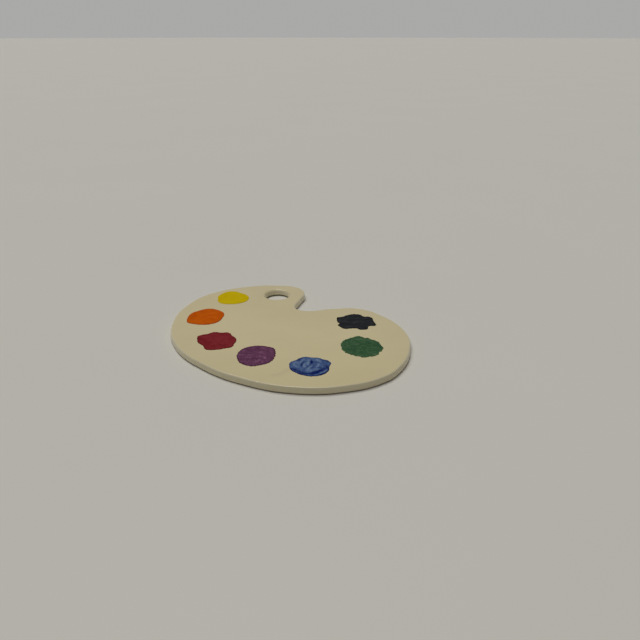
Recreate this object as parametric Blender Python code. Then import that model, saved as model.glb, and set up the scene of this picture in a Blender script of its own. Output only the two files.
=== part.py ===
"""Glazed ceramic mixing palette: a kidney-shaped slab with seven brushed dabs of colour on it.

Metres, +Z up. The origin is under the middle of the slab, on the surface that it rests on. +X runs
along the long side towards the broad lobe, and the finger notch opens towards +Y.
"""

import bpy

# Driving dimensions
PALETTE_LENGTH = 0.250
SLAB_THICKNESS = 0.0065
EDGE_RADIUS = 0.0014
THUMB_HOLE_DIAMETER = 0.024
PAINT_THICKNESS = 0.0006
PAINT_GAP = 0.0003

GLAZE_COLOUR = (0.83, 0.74, 0.49)
GLAZE_ROUGHNESS = 0.35
PAINT_ROUGHNESS = 0.45

# Outline points are in units of 1/250 of the palette's length, which is one millimetre at this size
UNIT = PALETTE_LENGTH / 250.0

# Each outline runs anticlockwise, and a smooth curve passes through its points
SLAB_OUTLINE = (
    (124, -8.5), (124, 13.5), (110.5, 49), (88, 75), (50.5, 90.5), (20.5, 89.5), (0.5, 71.5),   # broad lobe
    (-18, 49), (-28, 48.5), (-39, 66.5), (-48, 84),                                             # finger notch
    (-63.5, 92), (-86, 83), (-110, 56), (-124, 21.5), (-120.5, -13),                            # thumb lobe
    (-95.5, -55), (-55, -83), (-7.5, -92), (40.5, -86.5), (80.5, -69.5), (110.5, -39.5),        # long side
)
THUMB_HOLE_CENTRE = (-67.5, 61.5)

# Every dab: its colour, the middle of the dab, and its outline around that middle
PAINTS = {
    "yellow_paint": {
        "colour": (0.79, 0.58, 0.004),
        "centre": (-95.5, 22.5),
        "outline": (
            (16.5, -2), (15.5, 8), (9.3, 14.5), (1, 16.5), (-5, 16), (-12, 15), (-17, 10.5),
            (-18, 5), (-16, -5), (-9, -12), (-5, -15.5), (1, -16.5), (9, -13),
        ),
    },
    "orange_paint": {
        "colour": (0.72, 0.14, 0.005),
        "centre": (-79.5, -27.5),
        "outline": (
            (18.5, -2), (18, 3), (14.5, 10), (10, 16), (5, 19), (-4, 19.5), (-13, 16), (-16.3, 9),
            (-17, 4), (-17.6, -1), (-14, -9), (-7.7, -16.2), (-2, -19.5), (4, -18), (10.8, -14.2),
            (16, -9),
        ),
    },
    "red_paint": {
        "colour": (0.29, 0.031, 0.037),
        "centre": (-30.5, -54.5),
        "outline": (
            (20, 0), (17, 6), (13, 12), (8, 15), (3, 16), (-2, 18), (-6, 17.5), (-9, 14),
            (-16, 9.5), (-17, 4), (-18.8, 0), (-20, -5), (-14.7, -10.7), (-10, -14), (-2, -15),
            (7, -18), (14, -12), (17.5, -6),
        ),
    },
    "purple_paint": {
        "colour": (0.18, 0.070, 0.135),
        "centre": (17.5, -50.5),
        "outline": (
            (18, -1), (13.6, 8.7), (8, 15), (0, 19), (-4, 17.5), (-10, 15), (-16, 8), (-18, 1),
            (-16, -7), (-12, -12.5), (-6, -17), (0, -19.5), (5, -19.5), (12, -17), (15, -12),
            (17.5, -7),
        ),
    },
    "blue_paint": {
        "colour": (0.11, 0.166, 0.306),
        "centre": (66.5, -35.5),
        "outline": (
            (17.5, -2), (16, 5), (12, 10.7), (9.7, 15.2), (6, 17.5), (-1, 16.5), (-5, 16),
            (-9, 13), (-14.5, 10), (-16.5, 6), (-17, 0), (-17.5, -6), (-14, -11), (-9, -15),
            (-2, -16), (6, -15), (12, -12), (16, -7),
        ),
    },
    "green_paint": {
        "colour": (0.055, 0.132, 0.066),
        "centre": (76.5, 21.5),
        "outline": (
            (20.5, -4), (18.5, 2), (18, 6), (16, 10.5), (10, 15), (4, 18), (-2, 18), (-7, 18),
            (-9, 16.5), (-15, 16), (-18, 9), (-20, 3), (-18.5, -5), (-13, -12), (-6, -17),
            (2, -18), (9, -16.5), (14, -15), (17, -10),
        ),
    },
    "black_paint": {
        "colour": (0.039, 0.039, 0.043),
        "centre": (39.5, 59.5),
        "outline": (
            (19.5, 7), (15.5, 1), (18.3, -4), (17, -8), (14, -10.2), (9, -10.6), (6, -13.6),
            (2, -18), (-5, -17.3), (-8.3, -15.8), (-10, -12.4), (-14.6, -9.7), (-18, -6.2),
            (-20, -3), (-17.8, 1.5), (-17, 4), (-15.2, 10.6), (-11, 16), (-7, 17.3), (-2, 16.2),
            (0.5, 18.2), (6, 19), (11, 14.3), (16, 10.8),
        ),
    },
}

SLAB_CURVE_STEPS = 8
HOLE_CURVE_STEPS = 12
PAINT_CURVE_STEPS = 4
EDGE_CURVE_STEPS = 2


def clear_objects():
    for obj in list(bpy.data.objects):
        bpy.data.objects.remove(obj, do_unlink=True)


def make_collection(name):
    collection = bpy.data.collections.new(name)
    bpy.context.scene.collection.children.link(collection)
    return collection


def make_material(name, colour, roughness):
    material = bpy.data.materials.new(name)
    material.use_nodes = True
    shader = material.node_tree.nodes["Principled BSDF"]
    shader.inputs["Base Color"].default_value = (*colour, 1.0)
    shader.inputs["Roughness"].default_value = roughness
    shader.inputs["Metallic"].default_value = 0.0
    return material


def flat_curve(name, thickness, edge_radius):
    """A filled 2D curve with no outline yet, as thick as stated and with rounded rims."""
    curve = bpy.data.curves.new(name, "CURVE")
    curve.dimensions = "2D"
    curve.fill_mode = "BOTH"
    curve.extrude = thickness / 2 - edge_radius
    curve.bevel_depth = edge_radius
    curve.bevel_resolution = EDGE_CURVE_STEPS
    curve.offset = -edge_radius
    curve.render_resolution_u = 0
    return curve


def add_outline(curve, points, steps):
    """Adds one smooth closed outline through the points, which are in metres."""
    spline = curve.splines.new("BEZIER")
    spline.bezier_points.add(len(points) - 1)
    for knot, (x, y) in zip(spline.bezier_points, points):
        knot.co = (x, y, 0.0)
        knot.handle_left_type = "AUTO"
        knot.handle_right_type = "AUTO"
    spline.use_cyclic_u = True
    spline.resolution_u = steps


def scaled(points, centre=(0, 0)):
    return [((centre[0] + x) * UNIT, (centre[1] + y) * UNIT) for x, y in points]


def circle_points(centre, radius):
    """Four points clockwise round a circle, which smooth handles turn into a true round."""
    x, y = centre
    return [(x + radius, y), (x, y - radius), (x - radius, y), (x, y + radius)]


def place(curve, material, collection, height):
    """Makes the curve an object whose middle plane is at the stated height."""
    obj = bpy.data.objects.new(curve.name, curve)
    obj.location = (0.0, 0.0, height)
    curve.materials.append(material)
    collection.objects.link(obj)


def make_palette_slab(collection):
    curve = flat_curve("palette_slab", SLAB_THICKNESS, EDGE_RADIUS)
    add_outline(curve, scaled(SLAB_OUTLINE), SLAB_CURVE_STEPS)
    hole_centre = (THUMB_HOLE_CENTRE[0] * UNIT, THUMB_HOLE_CENTRE[1] * UNIT)
    add_outline(curve, circle_points(hole_centre, THUMB_HOLE_DIAMETER / 2), HOLE_CURVE_STEPS)
    glaze = make_material("cream_glaze", GLAZE_COLOUR, GLAZE_ROUGHNESS)
    place(curve, glaze, collection, SLAB_THICKNESS / 2)


def make_paint(name, colour, centre, outline, collection):
    curve = flat_curve(name, PAINT_THICKNESS, 0.0)
    add_outline(curve, scaled(outline, centre), PAINT_CURVE_STEPS)
    paint = make_material(name, colour, PAINT_ROUGHNESS)
    height = SLAB_THICKNESS + PAINT_GAP + PAINT_THICKNESS / 2
    place(curve, paint, collection, height)


def main():
    clear_objects()
    collection = make_collection("mixing_palette")
    make_palette_slab(collection)
    for name, dab in PAINTS.items():
        make_paint(name, dab["colour"], dab["centre"], dab["outline"], collection)


main()
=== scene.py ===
import math

import bmesh
import bpy
import numpy as np
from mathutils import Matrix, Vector, noise
from mathutils.geometry import delaunay_2d_cdt


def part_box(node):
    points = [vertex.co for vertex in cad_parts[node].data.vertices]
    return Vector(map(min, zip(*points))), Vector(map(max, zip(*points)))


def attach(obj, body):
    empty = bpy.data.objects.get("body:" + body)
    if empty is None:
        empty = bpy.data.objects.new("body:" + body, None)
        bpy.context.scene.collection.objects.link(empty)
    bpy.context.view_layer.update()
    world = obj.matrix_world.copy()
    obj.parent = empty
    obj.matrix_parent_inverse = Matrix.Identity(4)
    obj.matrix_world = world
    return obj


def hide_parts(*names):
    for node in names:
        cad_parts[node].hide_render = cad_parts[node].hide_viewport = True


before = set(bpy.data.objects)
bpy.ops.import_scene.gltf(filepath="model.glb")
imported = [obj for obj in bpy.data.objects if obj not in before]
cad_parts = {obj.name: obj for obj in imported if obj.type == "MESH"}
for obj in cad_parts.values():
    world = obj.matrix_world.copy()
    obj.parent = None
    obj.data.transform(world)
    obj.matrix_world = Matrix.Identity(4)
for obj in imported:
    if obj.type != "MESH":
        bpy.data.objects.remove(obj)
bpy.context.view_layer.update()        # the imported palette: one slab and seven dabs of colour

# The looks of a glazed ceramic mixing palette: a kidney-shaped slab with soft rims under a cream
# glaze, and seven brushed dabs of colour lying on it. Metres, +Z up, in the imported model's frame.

SLAB_LOW, SLAB_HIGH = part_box("palette_slab")
SLAB_TOP = SLAB_HIGH.z

# One unit is 1/250 of the palette's length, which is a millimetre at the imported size
UNIT = (SLAB_HIGH.x - SLAB_LOW.x) / 250

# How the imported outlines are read: a face is a wall where its normal's z is below UPRIGHT, corners
# nearer than SAME_CORNER are one, and a smooth curve takes CURVE_STEPS from each point to the next
UPRIGHT = 0.05
SAME_CORNER = 0.01 * UNIT
CURVE_STEPS = 8

# How the caps are meshed: the inner points keep this part of their spacing clear of the rims, their
# distances to the rims are worked out for so many at once, and points nearer than SAME_POINT are one
RIM_CLEARANCE = 0.6
POINTS_AT_ONCE = 500
SAME_POINT = 1e-9

# The slab's rims and mesh. Its top rim is crispest where the long side meets the broad lobe, and
# rubbed rounder away from there: that place and its reach are in units. The walls lean in towards
# the top, the foot rim curls under, and where the normal's z is below the slope given here the clay is
# bare.
# That darker clay on the curled foot rim is also painted shade in the dark contact line along the floor.
CRISP_PLACE = (85, -66)
CRISP_REACH = 120
CRISP_RIM_RADIUS = 0.8 * UNIT
SOFT_RIM_RADIUS = 1.7 * UNIT
WALL_LEAN = 0.6 * UNIT
FOOT_RIM_RISE = 1.3 * UNIT
HOLE_TOP_RIM_RADIUS = 2.0 * UNIT
HOLE_WALL_LEAN = 1.5 * UNIT
HOLE_FOOT_RIM_RISE = 2.3 * UNIT
FOOT_RIM_UNDERCUT = 5.0 * UNIT
CLAY_AND_SHADE_SLOPE = -0.8
RIM_STEPS = 6
WALL_STEPS = 4
SLAB_EDGE_SPACING = 1.2 * UNIT
SLAB_TOP_SPACING = 2.0 * UNIT
SLAB_FOOT_SPACING = 4.0 * UNIT

# How far the fired glaze and the hand-smoothed wall stray from flat, and the noise that each follows.
# Two seeds lie SEED_STRIDE apart in the noise.
GLAZE_SWELL = 0.10 * UNIT
GLAZE_SWELL_SIZE = 27 * UNIT
GLAZE_SWELL_SEED = 1
GLAZE_DIMPLE = 0.022 * UNIT
GLAZE_DIMPLE_SIZE = 8 * UNIT
GLAZE_DIMPLE_SEED = 2
WALL_RIPPLE = 0.16 * UNIT
WALL_RIPPLE_SIZE = 11 * UNIT
WALL_RIPPLE_SEED = 3
SEED_STRIDE = 17.3

# Painted shade of a faint crease in the top: a darker band which runs from the blue dab towards the long
# side, in units
CREASE_SHADE_START = (55.5, -51.5)
CREASE_SHADE_BEND = (56.5, -59.5)
CREASE_SHADE_END = (53.5, -67)
CREASE_SHADE_WIDTH = 5.5
CREASE_SHADE_STRENGTH = 0.22

# The dabs' film of colour. At its outline it stands at EDGE_PART of its thickness, and it reaches the
# rest at FILM_EDGE in. A lip, where the brush left more, runs LIP_PLACE in.
FILM_THICKNESS = 0.30 * UNIT
FILM_FOOT = -0.06 * UNIT
FILM_EDGE = 0.7 * UNIT
EDGE_PART = 0.45
EDGE_RINGS = (0.0, 0.1 * UNIT, 0.25 * UNIT)
FILM_EDGE_SPACING = 0.42 * UNIT
FILM_TOP_SPACING = 0.55 * UNIT
FILM_FOOT_SPACING = 3 * UNIT
LIP_HEIGHT = 0.09 * UNIT
LIP_PLACE = 1.1 * UNIT
LIP_FADE = 0.5 * LIP_PLACE
RAGGED_SIZE = 2.0 * UNIT
FIRST_DAB_SEED = 4

# The marks in the film: bristle ridges, which run long and bend a little, single strokes and blotches.
# Ridges and blotches follow noises of their own, which these steps part from the dab's first one.
RIDGE_HEIGHT = 0.07 * UNIT
RIDGE_STRETCH = 5
RIDGE_BEND = 1.2 * UNIT
RIDGE_BEND_SIZE = 9 * UNIT
RIDGE_SEED_STEP = 0.5
STROKE_HEIGHT = 0.10 * UNIT
STROKE_SAMPLES = 15
BLOTCH_SIZE = 5 * UNIT
BLOTCH_SEED_STEP = 0.25

# The film's tone, from 0 thin to 1 thick: a plain film's, what a full stroke adds, and how many units
# a dark rim fades over
PLAIN_TONE = 0.5
STROKE_TONE = 0.5
DARK_RIM_FADE = 0.8

# Each dab: its colours from thin to thick, the way its brush ran in degrees from +X, how many units
# wide its bristle ridges are, how much ridges, blotches and fine flecks show, how many units its
# edge strays, how dark its rim is, and its single strokes. A stroke starts, passes through a middle
# point and ends, in units from the dab's own middle. Then come its width, and how much deeper (or
# paler, below 0) it is.
DABS = {
    "yellow_paint": {
        "colours": ((0.80, 0.60, 0.004), (0.74, 0.535, 0.0), (0.64, 0.45, 0.0)),
        "brush": 35, "ridge": 2.3, "streak": 0.20, "blotch": 0.20, "fleck": 0.05,
        "ragged": 0.35, "rim": 0.10,
        "strokes": (
            ((-10, 9), (-6, 11), (-1, 10), 4.0, -0.45),
            ((-12, 0), (-5, -3), (3, -4), 3.0, 0.20),
            ((2, 2), (8, 1), (13, 0), 3.0, -0.20),
        ),
    },
    "orange_paint": {
        "colours": ((0.80, 0.165, 0.003), (0.68, 0.118, 0.0), (0.50, 0.068, 0.0)),
        "brush": 40, "ridge": 2.2, "streak": 0.20, "blotch": 0.20, "fleck": 0.05,
        "ragged": 0.40, "rim": 0.50,
        "strokes": (
            ((-15, 8), (-14, 0), (-8, -10), 4.5, 0.25),
            ((-4, -17), (0, -12), (3, -8), 3.0, -0.35),
            ((-2, 2), (4, 5), (10, 6), 4.0, -0.15),
            ((12, -9), (16, -3), (16, 5), 2.2, 0.35),
        ),
    },
    "red_paint": {
        "colours": ((0.31, 0.038, 0.044), (0.246, 0.0215, 0.0265), (0.140, 0.006, 0.009)),
        "brush": 35, "ridge": 2.4, "streak": 0.18, "blotch": 0.25, "fleck": 0.06,
        "ragged": 0.55, "rim": 0.55,
        "strokes": (
            ((-11, -1), (-2, 3), (8, 6), 4.5, -0.30),
            ((-15, 6), (-12, 5), (-10, 7), 3.0, -0.40),
            ((-12, -6), (-6, -9), (0, -10), 3.0, 0.20),
        ),
    },
    "purple_paint": {
        "colours": ((0.33, 0.14, 0.235), (0.155, 0.052, 0.112), (0.070, 0.016, 0.048)),
        "brush": 48, "ridge": 1.8, "streak": 0.16, "blotch": 0.14, "fleck": 0.18,
        "ragged": 0.80, "rim": 0.50,
        "strokes": (
            ((7.5, 2), (8.5, 1.5), (9.5, 1), 1.8, -0.70),
            ((7.5, -4), (8.5, -5), (8, -8), 2.0, -0.60),
            ((12, -5), (13.5, -6), (14.5, -6.5), 2.0, -0.40),
            ((-15, -1), (-14, -2), (-13.5, -3), 2.2, -0.45),
            ((-13, -8), (-11, -11), (-8, -13.5), 1.6, -0.40),
            ((-5, 13), (-3.5, 12.5), (-2, 13), 1.8, -0.35),
            ((3, 14), (5, 13.5), (6, 12.5), 1.8, -0.30),
            ((-9, 10), (-7, 9), (-6, 11), 4.0, 0.35),
            ((2, -6), (4, -5.5), (6, -5), 2.4, 0.40),
            ((-14, 9), (-16, 4), (-16.5, 0), 2.4, 0.35),
        ),
    },
    "blue_paint": {
        "colours": ((0.208, 0.296, 0.438), (0.078, 0.135, 0.296), (0.003, 0.012, 0.112)),
        "brush": -52, "ridge": 1.6, "streak": 0.12, "blotch": 0.08, "fleck": 0.14,
        "ragged": 0.40, "rim": 0.38,
        "strokes": (
            ((11, 7), (12.3, 2.5), (10, -7), 4.8, 0.80),
            ((9.5, 3), (11.5, -1), (10.5, -5), 3.0, 0.45),
            ((10.5, -7.5), (4, -13.5), (-8, -13.5), 4.4, 0.85),
            ((-5.2, 6.4), (-4.0, 5.3), (-3.0, 4.1), 2.2, 1.60),
            ((-3, 7.2), (-0.5, 8), (3, 8), 1.8, 0.45),
            ((-9.5, 2.5), (-8.3, -2), (-5.5, -5.5), 1.9, 0.75),
            ((-2.8, 2.4), (-1.5, -1), (-0.6, -4), 1.7, 0.65),
            ((0.5, 3), (2.2, 0.8), (3, -2.8), 1.7, 0.60),
            ((4.6, 6.2), (6.2, 3.4), (7.2, 2), 1.7, 0.45),
            ((-15, 6), (-15.5, 3), (-14.5, 0), 2.2, 0.60),
            ((-8, 13.5), (0, 15.5), (7, 15), 2.8, 0.60),
            ((14.8, 6.5), (16.8, 1), (15.6, -7), 2.2, 0.90),
            ((14.4, 3.2), (14.9, 0), (14.2, -4), 1.6, -0.85),
            ((2, 12.5), (6, 11.5), (9, 9), 3.2, 0.25),
            ((-8, 6.5), (-6, 3.5), (-3.8, 0.6), 2.4, -0.90),
            ((-4, 13), (-2.5, 11.5), (0, 10.8), 3.4, -0.60),
            ((2.4, 6.8), (4, 5), (5, 3), 2.6, -0.80),
            ((-6.2, -1.4), (-5, -3.2), (-3.2, -4.6), 2.4, -0.90),
            ((0.2, -0.8), (1, -3), (1.4, -5), 2.4, -0.70),
            ((-12.5, 4), (-11, 0), (-11.5, -4), 2.8, -0.50),
            ((-14.5, -3), (-12.5, -7), (-8, -9.5), 2.4, -0.60),
            ((3, -7), (6, -5.5), (7.5, -1), 4.4, -0.50),
        ),
    },
    "green_paint": {
        "colours": ((0.125, 0.205, 0.100), (0.047, 0.119, 0.053), (0.019, 0.062, 0.025)),
        "brush": 44, "ridge": 2.0, "streak": 0.20, "blotch": 0.20, "fleck": 0.18,
        "ragged": 0.90, "rim": -0.20,
        "strokes": (
            ((-15, 6), (-12, 10), (-8, 13), 3.0, -0.45),
            ((-4, 15), (1, 14), (5, 13.5), 2.4, -0.35),
            ((-15, -3), (-12, -6), (-9, -8), 2.4, -0.35),
            ((2, 0), (6, 1), (11, 2), 5.0, 0.15),
            ((13, -10), (16, -7), (17, -4), 2.4, -0.40),
            ((-3, 10), (0, 9.5), (3, 10), 2.4, 0.30),
        ),
    },
    "black_paint": {
        "colours": ((0.050, 0.053, 0.057), (0.0215, 0.0225, 0.0258), (0.003, 0.003, 0.003)),
        "brush": 41, "ridge": 2.2, "streak": 0.22, "blotch": 0.15, "fleck": 0.12,
        "ragged": 0.80, "rim": 0.60,
        "strokes": (
            ((-11, 0), (-6, 6), (2, 12), 2.2, -0.40),
            ((-10, -6), (-2, -2), (6, 5), 2.4, -0.35),
            ((0, -14), (4, -9), (7, -7), 2.2, -0.35),
            ((10, 9), (13, 9), (15, 7), 2.4, -0.40),
            ((-6, 13), (-3, 11), (0, 13), 2.4, 0.30),
        ),
    },
}

# Most of a noise texture's values lie in this range
NOISE_RANGE = (0.3, 0.7)

# The glaze clouds between two colours. Painted shade lays more of the darker second colour on near the
# rims, fading out between the given depths in units, where the light falls off away from the middle. It
# is thin and pale where it ran off the rims, at the given depths in units. A few specks show in it, each
# in a cell whose random tone is above SPECK_CHOICE, and fade out between two radii that are parts of the
# cell.
GLAZE_COLOURS = ((0.805, 0.690, 0.395), (0.755, 0.645, 0.365))
GLAZE_CLOUD_SIZE = 38 * UNIT
GLAZE_CLOUD_RANGE = (0.35, 0.65)
GLAZE_CLOUD_TONE = 0.4
GLAZE_RIM_SHADE = 0.6
GLAZE_RIM_SHADE_DEPTHS = (5.0, 50.0)
THIN_GLAZE_COLOUR = (0.86, 0.79, 0.58)
THIN_GLAZE_DEPTHS = (0.7, 2.2)
THIN_GLAZE_COVER = 0.85
THIN_GLAZE_PATCH_SIZE = 4 * UNIT
THIN_GLAZE_PATCHES = (0.7, 1.0)
# The darker colour of the crease's painted shade
CREASE_SHADE_COLOUR = (0.52, 0.43, 0.245)
SPECK_COLOUR = (0.33, 0.22, 0.11)
SPECK_CELL_SIZE = 7 * UNIT
SPECK_CHOICE = 0.78
SPECK_RADII = (0.02, 0.045)
SPECK_COVER = 0.55
GLAZE_SPECULAR = 0.36
GLAZE_ROUGHNESS = (0.15, 0.21)
GLAZE_ROUGHNESS_SIZE = 12 * UNIT
ORANGE_PEEL_SIZE = 1.6 * UNIT
ORANGE_PEEL_HEIGHT = 0.03 * UNIT

# The bare clay of the underside. Its darker colour on the curled foot rim is also painted shade in the
# contact line
CLAY_AND_SHADE_COLOURS = ((0.48, 0.40, 0.31), (0.37, 0.30, 0.23))
CLAY_ROUGHNESS = 0.85
CLAY_GRAIN_SIZE = 0.9 * UNIT
CLAY_GRAIN_RANGE = (0.35, 0.7)
CLAY_PIT_SIZE = 0.6 * UNIT
CLAY_PIT_DEPTH = 0.08 * UNIT

# Fine marks in the dabs that are too small for their mesh
BRISTLE_SIZE = 0.7 * UNIT
BRISTLE_SQUEEZE = 0.12
BRISTLE_TONE = 0.08
BRISTLE_HEIGHT = 0.05 * UNIT
FLECK_SIZE = 1.5 * UNIT
PAINT_ROUGHNESS = (0.48, 0.62)
PAINT_SPECULAR = 0.02

# The studio floor, in metres
FLOOR_COLOUR = (0.80, 0.774, 0.70)
FLOOR_UNEVENNESS = 0.985
FLOOR_CLOUD_SIZE = 0.25
FLOOR_ROUGHNESS = 0.6
FLOOR_SPECULAR = 0.2
FLOOR_RADIUS = 30
FLOOR_SIDES = 96
FLOOR_DROP = 0.02 * UNIT

# The camera and the lights. Places are in metres and angles in degrees. A lamp's spread is how wide
# it looks from the palette.
CAMERA_PLACE = (0.3839, -0.3884, 0.263)
CAMERA_DOWN = 24.25
CAMERA_TURN = 41
CAMERA_LENS = 36.1
CAMERA_SENSOR = 36
CAMERA_NEAR = 0.01
LAMP_BEARING = 180
LAMP_RISE = 73
LAMP_SPREAD = 45
LAMP_STRENGTH = 1.145
GLINT_BEARING = 141
GLINT_RISE = 62
GLINT_SPREAD = 8
GLINT_STRENGTH = 0.30
ROOM_LIGHT = 0.12
ROOM_SEEN = (0.40, 0.40, 0.395)


# --- Outlines ---------------------------------------------------------------------------------

def rim_edges(mesh):
    """The edges where an upright wall of the mesh ends at its top."""
    for edge in mesh.edges:
        slopes = [face.normal.z for face in edge.link_faces]
        if len(slopes) == 2 and min(abs(slope) for slope in slopes) < UPRIGHT < max(slopes):
            yield edge


def chain(edges):
    """Joins edges end to end into closed loops of vertices."""
    links = {}
    for edge in edges:
        first, second = edge.verts
        links.setdefault(first, []).append(second)
        links.setdefault(second, []).append(first)
    loops = []
    while links:
        start = next(iter(links))
        loop = [start]
        here = links.pop(start)[0]
        while here is not start:
            one, other = links.pop(here)
            ahead = other if one is loop[-1] else one
            loop.append(here)
            here = ahead
        loops.append(loop)
    return loops


def signed_area(loop):
    """The loop's area, which is negative if it runs clockwise."""
    following = np.roll(loop, -1, axis=0)
    return 0.5 * np.sum(loop[:, 0] * following[:, 1] - following[:, 0] * loop[:, 1])


def from_east(loop):
    """The same loop, starting at its point nearest to due +X of its middle."""
    away = loop - (loop.min(axis=0) + loop.max(axis=0)) / 2
    return np.roll(loop, -np.argmin(np.abs(np.arctan2(away[:, 1], away[:, 0]))), axis=0)


def node_outlines(node):
    """The outlines of a CAD node from above: the outer one anticlockwise, then any holes clockwise."""
    mesh = bmesh.new()
    mesh.from_mesh(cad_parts[node].data)
    bmesh.ops.remove_doubles(mesh, verts=mesh.verts, dist=SAME_CORNER)
    mesh.normal_update()
    loops = [np.array([vert.co[:2] for vert in loop]) for loop in chain(rim_edges(mesh))]
    mesh.free()
    loops.sort(key=lambda loop: -abs(signed_area(loop)))
    wanted = [1] + [-1] * (len(loops) - 1)
    steps = [int(np.sign(signed_area(loop)) * turn) for loop, turn in zip(loops, wanted)]
    return [from_east(loop[::step]) for loop, step in zip(loops, steps)]


def smooth_loop(points, spacing):
    """Evenly spaced points round a smooth closed curve through the given ones."""
    before, after, beyond = (np.roll(points, shift, axis=0) for shift in (1, -1, -2))
    rows = []
    for t in np.linspace(0, 1, CURVE_STEPS, endpoint=False):
        rows.append(0.5 * (
            2 * points + (after - before) * t
            + (2 * before - 5 * points + 4 * after - beyond) * t ** 2
            + (3 * points - before - 3 * after + beyond) * t ** 3
        ))
    fine = np.stack(rows, axis=1).reshape(-1, 2)
    closed = np.vstack([fine, fine[:1]])
    run = np.concatenate([[0], np.cumsum(np.linalg.norm(np.diff(closed, axis=0), axis=1))])
    stops = np.linspace(0, run[-1], round(run[-1] / spacing), endpoint=False)
    return np.stack([np.interp(stops, run, closed[:, axis]) for axis in (0, 1)], axis=1)


def inset(loop, depth):
    """The loop moved into the material. The depth is one number, or one for each point."""
    along = np.roll(loop, -1, axis=0) - np.roll(loop, 1, axis=0)
    outward = np.stack([along[:, 1], -along[:, 0]], axis=1)
    outward /= np.linalg.norm(outward, axis=1, keepdims=True)
    return loop - outward * np.reshape(depth, (-1, 1))


# --- Height and tone over the surface ---------------------------------------------------------

def bumps(x, y, size, seed, z=0.0):
    """Smooth noise from about -1 to 1, whose bumps are about as wide as the size."""
    return np.array([noise.noise(Vector((u / size, v / size, w / size + SEED_STRIDE * seed)))
                     for u, v, w in zip(x, y, np.broadcast_to(z, len(x)))])


def stroke_cover(x, y, start, middle, end, width):
    """How strongly a stroke covers each point: 1 along its middle line, fading across its width."""
    start, middle, end = (np.array(point, float) for point in (start, middle, end))
    pull = 2 * middle - (start + end) / 2
    t = np.linspace(0, 1, STROKE_SAMPLES)[:, None]
    path = (1 - t) ** 2 * start + 2 * t * (1 - t) * pull + t ** 2 * end
    nearest = np.min(np.hypot(x[:, None] - path[:, 0], y[:, None] - path[:, 1]), axis=1)
    return np.exp(-(2 * nearest / width) ** 2)


def glaze_height(x, y):
    """How far the glazed top stands above or below its nominal plane."""
    return (
        GLAZE_SWELL * bumps(x, y, GLAZE_SWELL_SIZE, GLAZE_SWELL_SEED)
        + GLAZE_DIMPLE * bumps(x, y, GLAZE_DIMPLE_SIZE, GLAZE_DIMPLE_SEED)
    )


# --- Solids -----------------------------------------------------------------------------------

def inside(points, loops):
    """Which points lie within the outer loop and outside the holes."""
    odd = np.zeros(len(points), bool)
    for loop in loops:
        ends = np.roll(loop, -1, axis=0)
        for (x0, y0), (x1, y1) in zip(loop, ends):
            if y0 != y1:
                beside = (points[:, 1] < y0) != (points[:, 1] < y1)
                crossing = x0 + (points[:, 1] - y0) * (x1 - x0) / (y1 - y0)
                odd ^= beside & (points[:, 0] < crossing)
    return odd


def distance_to(points, loops):
    """Each point's distance to the nearest point of the loops."""
    rim = np.vstack(loops)
    parts = np.array_split(points, max(1, len(points) // POINTS_AT_ONCE))
    return np.concatenate([
        np.sqrt(((part[:, None] - rim) ** 2).sum(axis=2).min(axis=1)) for part in parts
    ])


def inner_points(loops, spacing):
    """An even, staggered spread of points inside the loops, kept clear of them."""
    low = loops[0].min(axis=0)
    high = loops[0].max(axis=0)
    rise = spacing * math.sqrt(3) / 2
    points = []
    for row in range(int((high[1] - low[1]) / rise) + 1):
        start = low[0] + (row % 2) * spacing / 2
        across = np.arange(start, high[0], spacing)
        points.append(np.stack([across, np.full(len(across), low[1] + row * rise)], axis=1))
    points = np.vstack(points)
    points = points[inside(points, loops)]
    return points[distance_to(points, loops) > RIM_CLEARANCE * spacing]


def cap_triangles(loops, inner):
    """Triangles across the region between the loops.

    They number the loops' own points first, then the inner ones.
    """
    edges = []
    first = 0
    for loop in loops:
        count = len(loop)
        edges += [(first + i, first + (i + 1) % count) for i in range(count)]
        first += count
    points = np.vstack(loops + [inner])
    whole_hull = 0
    made = delaunay_2d_cdt([Vector(point) for point in points], edges, [], whole_hull, SAME_POINT)
    faces, origins = made[2:4]
    corners = np.array([[origins[i][0] for i in face] for face in faces])
    middles = points[corners].mean(axis=1)
    return corners[inside(middles, loops)]


def ring_faces(start, count):
    """The faces between a ring of vertices, numbered from the start, and the ring that follows it."""
    pairs = [(i, (i + 1) % count) for i in range(count)]
    return [(start + i, start + j, start + count + j, start + count + i) for i, j in pairs]


def cap(rims, spacing, start, step):
    """A cap across the rims: its inner points, which are numbered from the start, and its faces.

    A step of 1 faces it up, and of -1 down.
    """
    loops = [ring for _, ring in rims]
    inner = inner_points(loops, spacing)
    numbers = np.concatenate(
        [np.arange(first, first + len(ring)) for first, ring in rims]
        + [np.arange(start, start + len(inner))]
    )
    return inner, [numbers[corners[::step]] for corners in cap_triangles(loops, inner)]


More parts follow.
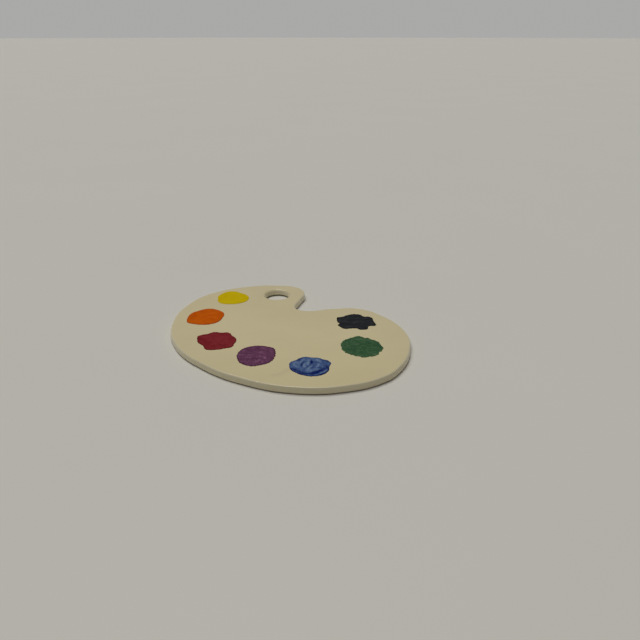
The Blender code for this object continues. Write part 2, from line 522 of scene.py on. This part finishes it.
def solid(name, outlines, profiles, top_spacing, foot_spacing, shape, ripple=None):
    """A closed solid that follows the outlines from above.

    Each outline's profile lists (depth, height) pairs, from the foot cap's edge up the wall to the
    top cap's edge. Either may be one number, or one for each point of the outline. shape(x, y,
    depth, height) gives each point's final z, and ripple(x, y, z) how far the wall strays. Each
    point keeps its depth, its distance in from the outline, in units.
    """
    flat = []
    faces = []
    rims = {}
    last = len(profiles[0]) - 1
    start = 0
    for outline, profile in zip(outlines, profiles):
        count = len(outline)
        for row, (depth, height) in enumerate(profile):
            stray = ripple(outline[:, 0], outline[:, 1], height) if ripple else 0
            ring = inset(outline, depth + stray)
            rims.setdefault(row, []).append((start, ring))
            flat.append((ring, np.full(count, depth), np.full(count, height)))
            if row < last:
                faces += ring_faces(start, count)
            start += count
    for row, spacing, step in ((last, top_spacing, 1), (0, foot_spacing, -1)):
        inner, triangles = cap(rims[row], spacing, start, step)
        level = np.mean(profiles[0][row][1])
        flat.append((inner, distance_to(inner, outlines), np.full(len(inner), level)))
        faces += triangles
        start += len(inner)
    xy, depth, height = (np.concatenate(parts) for parts in zip(*flat))
    z = shape(xy[:, 0], xy[:, 1], depth, height)
    mesh = bpy.data.meshes.new(name)
    faces = [[int(i) for i in face] for face in faces]
    mesh.from_pydata(np.column_stack([xy, z]).tolist(), [], faces)
    mesh.shade_smooth()
    keep(mesh, "depth", depth / UNIT)
    obj = bpy.data.objects.new(name, mesh)
    bpy.context.scene.collection.objects.link(obj)
    return obj


def keep(mesh, name, values):
    """Stores one number for each vertex, which materials read by that name."""
    layer = mesh.attributes.new(name, "FLOAT", "POINT")
    layer.data.foreach_set("value", np.asarray(values, np.float32))


def places(mesh):
    """The x and the y of each of the mesh's vertices."""
    return np.array([vert.co[:2] for vert in mesh.vertices]).T


# --- Material building blocks -----------------------------------------------------------------

def new_material(name):
    """A material, with its node tree and its shader."""
    material = bpy.data.materials.new(name)
    material.use_nodes = True
    return material, material.node_tree, material.node_tree.nodes["Principled BSDF"]


def add_node(tree, kind, settings=None, **values):
    """A shader node with its settings, and with its inputs set or linked by name."""
    node = tree.nodes.new(kind)
    for key, value in (settings or {}).items():
        setattr(node, key, value)
    for key, value in values.items():
        put(tree, node.inputs[key.replace("_", " ")], value)
    return node


def put(tree, socket, value):
    """Sets an input to a plain value, or links it to another node's output."""
    if isinstance(value, bpy.types.NodeSocket):
        tree.links.new(value, socket)
    elif isinstance(value, tuple) and len(value) == 3 and socket.type == "RGBA":
        socket.default_value = (*value, 1.0)
    else:
        socket.default_value = value


def surface_point(tree, turn=0.0, stretch=(1.0, 1.0, 1.0)):
    """The point on the object, turned about +Z in degrees and then stretched."""
    place = add_node(tree, "ShaderNodeTexCoord").outputs["Object"]
    turned = add_node(tree, "ShaderNodeVectorRotate", {"rotation_type": "Z_AXIS"},
                      Vector=place, Angle=math.radians(-turn))
    scaled = add_node(tree, "ShaderNodeVectorMath", {"operation": "MULTIPLY"})
    tree.links.new(turned.outputs["Vector"], scaled.inputs[0])
    scaled.inputs[1].default_value = stretch
    return scaled.outputs["Vector"]


def noise_at(tree, point, size, detail=2.0):
    """Noise from 0 to 1 with features of about that size."""
    node = add_node(tree, "ShaderNodeTexNoise", Vector=point, Scale=1 / size, Detail=detail)
    return node.outputs["Fac"]


def remap(tree, value, old, new):
    """Carries a number from the old range to the new one, without going past the ends."""
    node = add_node(tree, "ShaderNodeMapRange", Value=value, From_Min=old[0], From_Max=old[1],
                    To_Min=new[0], To_Max=new[1])
    return node.outputs["Result"]


def calculate(tree, operation, first, second):
    """The result of a sum on two numbers."""
    node = add_node(tree, "ShaderNodeMath", {"operation": operation})
    put(tree, node.inputs[0], first)
    put(tree, node.inputs[1], second)
    return node.outputs["Value"]


def mix(tree, factor, first, second):
    """A colour between two: the first at factor 0, the second at 1."""
    node = tree.nodes.new("ShaderNodeMix")
    node.data_type = "RGBA"
    put(tree, node.inputs["Factor"], factor)
    put(tree, node.inputs[6], first)
    put(tree, node.inputs[7], second)
    return node.outputs[2]


def attribute(tree, name):
    """A number that the mesh keeps for each vertex."""
    return add_node(tree, "ShaderNodeAttribute", {"attribute_name": name}).outputs["Fac"]


def add_bump(tree, shader, height, distance, strength):
    """Fine relief in the material, where a height of 1 stands as far out as the distance."""
    bump = add_node(tree, "ShaderNodeBump", Height=height, Distance=distance, Strength=strength)
    tree.links.new(bump.outputs["Normal"], shader.inputs["Normal"])


# --- Materials --------------------------------------------------------------------------------

def glaze_material():
    """Cream glaze: clouded, with painted shade towards the rims and along a faint crease, paler where
    thin on the rims, with rare specks and a faint orange peel.
    """
    material, tree, shader = new_material("cream_glaze")
    point = surface_point(tree)
    drift = noise_at(tree, point, GLAZE_CLOUD_SIZE)
    cloud = remap(tree, drift, GLAZE_CLOUD_RANGE, (0.0, GLAZE_CLOUD_TONE))
    # Painted shade: more of the darker glaze colour towards the rims, where the light falls off from the
    # middle
    rim_shade = remap(tree, attribute(tree, "depth"), GLAZE_RIM_SHADE_DEPTHS, (GLAZE_RIM_SHADE, 0.0))
    colour = mix(tree, calculate(tree, "ADD", cloud, rim_shade), *GLAZE_COLOURS)
    thin = remap(tree, attribute(tree, "depth"), THIN_GLAZE_DEPTHS, (THIN_GLAZE_COVER, 0.0))
    patches = remap(tree, noise_at(tree, point, THIN_GLAZE_PATCH_SIZE), NOISE_RANGE, THIN_GLAZE_PATCHES)
    colour = mix(tree, calculate(tree, "MULTIPLY", thin, patches), colour, THIN_GLAZE_COLOUR)
    # Painted shade: the crease's darker band, standing for the shade of a slight step in the top
    crease_shaded = calculate(tree, "MULTIPLY", attribute(tree, "crease_shade"), CREASE_SHADE_STRENGTH)
    colour = mix(tree, crease_shaded, colour, CREASE_SHADE_COLOUR)
    cells = add_node(tree, "ShaderNodeTexVoronoi", Vector=point, Scale=1 / SPECK_CELL_SIZE)
    chosen = calculate(tree, "GREATER_THAN", cells.outputs["Color"], SPECK_CHOICE)
    spot = remap(tree, cells.outputs["Distance"], SPECK_RADII, (SPECK_COVER, 0.0))
    colour = mix(tree, calculate(tree, "MULTIPLY", chosen, spot), colour, SPECK_COLOUR)
    tree.links.new(colour, shader.inputs["Base Color"])
    gloss = noise_at(tree, point, GLAZE_ROUGHNESS_SIZE, detail=3.0)
    tree.links.new(remap(tree, gloss, NOISE_RANGE, GLAZE_ROUGHNESS), shader.inputs["Roughness"])
    shader.inputs["Specular IOR Level"].default_value = GLAZE_SPECULAR
    add_bump(tree, shader, noise_at(tree, point, ORANGE_PEEL_SIZE), ORANGE_PEEL_HEIGHT, strength=0.5)
    return material


def clay_and_contact_shade_material():
    """Bare fired clay on the underside, kept free of glaze so that it doesn't stick in the kiln; on the
    foot rim it is also painted contact shade.
    """
    material, tree, shader = new_material("bare_clay_and_contact_shade")
    point = surface_point(tree)
    grain = remap(tree, noise_at(tree, point, CLAY_GRAIN_SIZE, detail=4.0), CLAY_GRAIN_RANGE, (0.0, 1.0))
    tree.links.new(mix(tree, grain, *CLAY_AND_SHADE_COLOURS), shader.inputs["Base Color"])
    shader.inputs["Roughness"].default_value = CLAY_ROUGHNESS
    pits = noise_at(tree, point, CLAY_PIT_SIZE, detail=4.0)
    add_bump(tree, shader, pits, CLAY_PIT_DEPTH, strength=0.6)
    return material


def paint_material(name, dab):
    """Brushed colour: its tone follows the thickness of the film, with fine bristle marks."""
    material, tree, shader = new_material(name)
    along = surface_point(tree, dab["brush"], (BRISTLE_SQUEEZE, 1.0, 1.0))
    bristles = noise_at(tree, along, BRISTLE_SIZE, detail=3.0)
    lines = remap(tree, bristles, NOISE_RANGE, (-BRISTLE_TONE, BRISTLE_TONE))
    fleck = noise_at(tree, surface_point(tree), FLECK_SIZE)
    flecks = remap(tree, fleck, NOISE_RANGE, (-dab["fleck"], dab["fleck"]))
    marks = calculate(tree, "ADD", lines, flecks)
    tone = calculate(tree, "ADD", attribute(tree, "tone"), marks)
    ramp = add_node(tree, "ShaderNodeValToRGB", Fac=tone)
    ramp.color_ramp.elements.new(0.5)
    for stop, place, colour in zip(ramp.color_ramp.elements, (0.0, 0.5, 1.0), dab["colours"]):
        stop.position = place
        stop.color = (*colour, 1.0)
    tree.links.new(ramp.outputs["Color"], shader.inputs["Base Color"])
    tree.links.new(remap(tree, fleck, NOISE_RANGE, PAINT_ROUGHNESS), shader.inputs["Roughness"])
    shader.inputs["Specular IOR Level"].default_value = PAINT_SPECULAR
    add_bump(tree, shader, bristles, BRISTLE_HEIGHT, strength=0.6)
    return material


def floor_material():
    """A matte studio surface with a barely uneven tone."""
    material, tree, shader = new_material("pale_floor")
    cloud = remap(tree, noise_at(tree, surface_point(tree), FLOOR_CLOUD_SIZE), NOISE_RANGE, (0.0, 1.0))
    darker = tuple(FLOOR_UNEVENNESS * part for part in FLOOR_COLOUR)
    tree.links.new(mix(tree, cloud, FLOOR_COLOUR, darker), shader.inputs["Base Color"])
    shader.inputs["Roughness"].default_value = FLOOR_ROUGHNESS
    shader.inputs["Specular IOR Level"].default_value = FLOOR_SPECULAR
    return material


# --- The palette ------------------------------------------------------------------------------

def outer_rim_radius(outline):
    """The top rim's radius at each point of the slab's outline."""
    away = np.hypot(outline[:, 0] - CRISP_PLACE[0] * UNIT, outline[:, 1] - CRISP_PLACE[1] * UNIT)
    softness = np.clip(away / (CRISP_REACH * UNIT), 0, 1)
    return CRISP_RIM_RADIUS + (SOFT_RIM_RADIUS - CRISP_RIM_RADIUS) * softness


def wall_profile(top_radius, foot_rise, lean):
    """The wall from the foot cap's edge, round the foot rim, up, and round the top rim.

    The lean is how much deeper into the slab the wall stands at its top than at its foot rim.
    """
    turn = np.linspace(0, math.pi / 2, RIM_STEPS + 1)
    foot = [(FOOT_RIM_UNDERCUT * (1 - math.sin(a)), foot_rise * (1 - math.cos(a))) for a in turn]
    top = [(top_radius * (1 - math.cos(a)), SLAB_TOP - top_radius * (1 - math.sin(a))) for a in turn]
    rises = np.linspace(foot_rise, top[0][1], WALL_STEPS + 1)[1:-1]
    wall = [(0.0, height) for height in rises] + top
    slope = lean / (SLAB_TOP - foot_rise)
    return foot + [(depth + slope * (height - foot_rise), height) for depth, height in wall]


def slab_shape(x, y, depth, height):
    """The slab's final height at each point. The glaze strays most at the top, and not at the foot."""
    return height + glaze_height(x, y) * (height / SLAB_TOP)


def wall_ripple(x, y, z):
    """How far the wall strays inward at each point."""
    return WALL_RIPPLE * bumps(x, y, WALL_RIPPLE_SIZE, WALL_RIPPLE_SEED, z)


def make_slab():
    """The glazed slab, with its thumb hole, on its bare clay foot."""
    outlines = [smooth_loop(loop, SLAB_EDGE_SPACING) for loop in node_outlines("palette_slab")]
    profiles = [
        wall_profile(outer_rim_radius(outlines[0]), FOOT_RIM_RISE, WALL_LEAN),
        wall_profile(HOLE_TOP_RIM_RADIUS, HOLE_FOOT_RIM_RISE, HOLE_WALL_LEAN),
    ]
    slab = solid("glazed_slab", outlines, profiles, SLAB_TOP_SPACING, SLAB_FOOT_SPACING,
                 slab_shape, wall_ripple)
    x, y = places(slab.data) / UNIT
    # How strongly the crease's painted shade covers each vertex
    keep(slab.data, "crease_shade", stroke_cover(x, y, CREASE_SHADE_START, CREASE_SHADE_BEND, CREASE_SHADE_END, CREASE_SHADE_WIDTH))
    slab.data.materials.append(glaze_material())
    slab.data.materials.append(clay_and_contact_shade_material())
    # Steep downward faces take the bare clay: on the foot rim its darker colour is painted shade in the
    # contact line
    for face in slab.data.polygons:
        face.material_index = int(face.normal.z < CLAY_AND_SHADE_SLOPE)
    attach(slab, "root")
    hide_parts("palette_slab")


def dab_pattern(dab, x, y, seed):
    """The ridges that the bristles left, from -1 to 1, and how much deeper the strokes are."""
    angle = math.radians(dab["brush"])
    along = x * math.cos(angle) + y * math.sin(angle)
    across = y * math.cos(angle) - x * math.sin(angle)
    bend = RIDGE_BEND * bumps(x, y, RIDGE_BEND_SIZE, seed)
    ridges = bumps(along / RIDGE_STRETCH, across + bend, dab["ridge"] * UNIT, seed + RIDGE_SEED_STEP)
    strokes = [deep * stroke_cover(x / UNIT, y / UNIT, *stroke) for *stroke, deep in dab["strokes"]]
    return ridges, sum(strokes)


def make_dab(node, dab, seed):
    """One dab: a thin film in its packed outline, with the brush's marks in its top and its tone."""
    low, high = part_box(node)
    middle_x = (low.x + high.x) / 2
    middle_y = (low.y + high.y) / 2
    outline = smooth_loop(node_outlines(node)[0], FILM_EDGE_SPACING)
    ragged = bumps(outline[:, 0], outline[:, 1], RAGGED_SIZE, seed)
    outline = inset(outline, dab["ragged"] * UNIT * ragged)

    def film_shape(x, y, depth, height):
        ridges, deeper = dab_pattern(dab, x - middle_x, y - middle_y, seed)
        edge = np.clip(depth / FILM_EDGE, 0, 1)
        round_up = np.sqrt(1 - (1 - edge) ** 2)
        lip = LIP_HEIGHT * np.exp(-((depth - LIP_PLACE) / LIP_FADE) ** 2)
        body = FILM_THICKNESS * (EDGE_PART + (1 - EDGE_PART) * round_up) + lip
        body += (RIDGE_HEIGHT * ridges + STROKE_HEIGHT * deeper) * round_up
        return SLAB_TOP + glaze_height(x, y) + np.where(height < 0, FILM_FOOT, body)

    name = node.replace("paint", "dab")
    profile = [(0.0, FILM_FOOT)] + [(depth, 0.0) for depth in EDGE_RINGS]
    obj = solid(name, [outline], [profile], FILM_TOP_SPACING, FILM_FOOT_SPACING, film_shape)
    x, y = places(obj.data)
    depth = np.array([item.value for item in obj.data.attributes["depth"].data])
    ridges, deeper = dab_pattern(dab, x - middle_x, y - middle_y, seed)
    blotches = bumps(x, y, BLOTCH_SIZE, seed + BLOTCH_SEED_STEP)
    tone = (
        PLAIN_TONE + dab["streak"] * ridges + dab["blotch"] * blotches + STROKE_TONE * deeper
        + dab["rim"] * np.exp(-(depth / DARK_RIM_FADE) ** 2)
    )
    keep(obj.data, "tone", np.clip(tone, 0, 1))
    obj.data.materials.append(paint_material(node, dab))
    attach(obj, "root")
    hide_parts(node)


# --- The studio -------------------------------------------------------------------------------

def make_floor():
    """A wide pale floor, a hair below the slab's foot."""
    bpy.ops.mesh.primitive_circle_add(vertices=FLOOR_SIDES, radius=FLOOR_RADIUS, fill_type="NGON",
                                      location=(0, 0, -FLOOR_DROP))
    floor = bpy.context.object
    floor.name = "floor"
    floor.data.materials.append(floor_material())


def make_room_light():
    """An even room: as a light it is dimmer than it looks to the eye and in the glaze."""
    world = bpy.data.worlds.new("room")
    world.use_nodes = True
    bpy.context.scene.world = world
    tree = world.node_tree
    light = tree.nodes["Background"]
    light.inputs["Color"].default_value = (1.0, 1.0, 1.0, 1.0)
    light.inputs["Strength"].default_value = ROOM_LIGHT
    seen = add_node(tree, "ShaderNodeBackground", Color=ROOM_SEEN, Strength=1.0)
    path = add_node(tree, "ShaderNodeLightPath")
    choice = tree.nodes.new("ShaderNodeMixShader")
    tree.links.new(path.outputs["Is Diffuse Ray"], choice.inputs["Fac"])
    tree.links.new(seen.outputs["Background"], choice.inputs[1])
    tree.links.new(light.outputs["Background"], choice.inputs[2])
    tree.links.new(choice.outputs["Shader"], tree.nodes["World Output"].inputs["Surface"])


def make_lamp(name, bearing, rise, spread, strength):
    """A far light, seen from the palette at that bearing from +X and that height above the floor."""
    data = bpy.data.lights.new(name, "SUN")
    data.angle = math.radians(spread)
    data.energy = strength
    lamp = bpy.data.objects.new(name, data)
    bpy.context.scene.collection.objects.link(lamp)
    around = math.radians(bearing)
    up = math.radians(rise)
    toward = Vector((math.cos(around) * math.cos(up), math.sin(around) * math.cos(up), math.sin(up)))
    lamp.rotation_euler = toward.to_track_quat("Z", "Y").to_euler()


def make_camera():
    """A camera that looks across the palette from its front right."""
    data = bpy.data.cameras.new("camera")
    data.lens = CAMERA_LENS
    data.sensor_width = CAMERA_SENSOR
    data.clip_start = CAMERA_NEAR
    camera = bpy.data.objects.new("camera", data)
    camera.location = CAMERA_PLACE
    camera.rotation_euler = (math.radians(90 - CAMERA_DOWN), 0.0, math.radians(CAMERA_TURN))
    bpy.context.scene.collection.objects.link(camera)
    bpy.context.scene.camera = camera


bpy.context.scene.view_settings.view_transform = "Standard"
make_slab()
for seed, (node, dab) in enumerate(DABS.items(), start=FIRST_DAB_SEED):
    make_dab(node, dab, seed)
make_floor()
make_room_light()
make_lamp("soft_lamp", LAMP_BEARING, LAMP_RISE, LAMP_SPREAD, LAMP_STRENGTH)
make_lamp("glint_lamp", GLINT_BEARING, GLINT_RISE, GLINT_SPREAD, GLINT_STRENGTH)
make_camera()
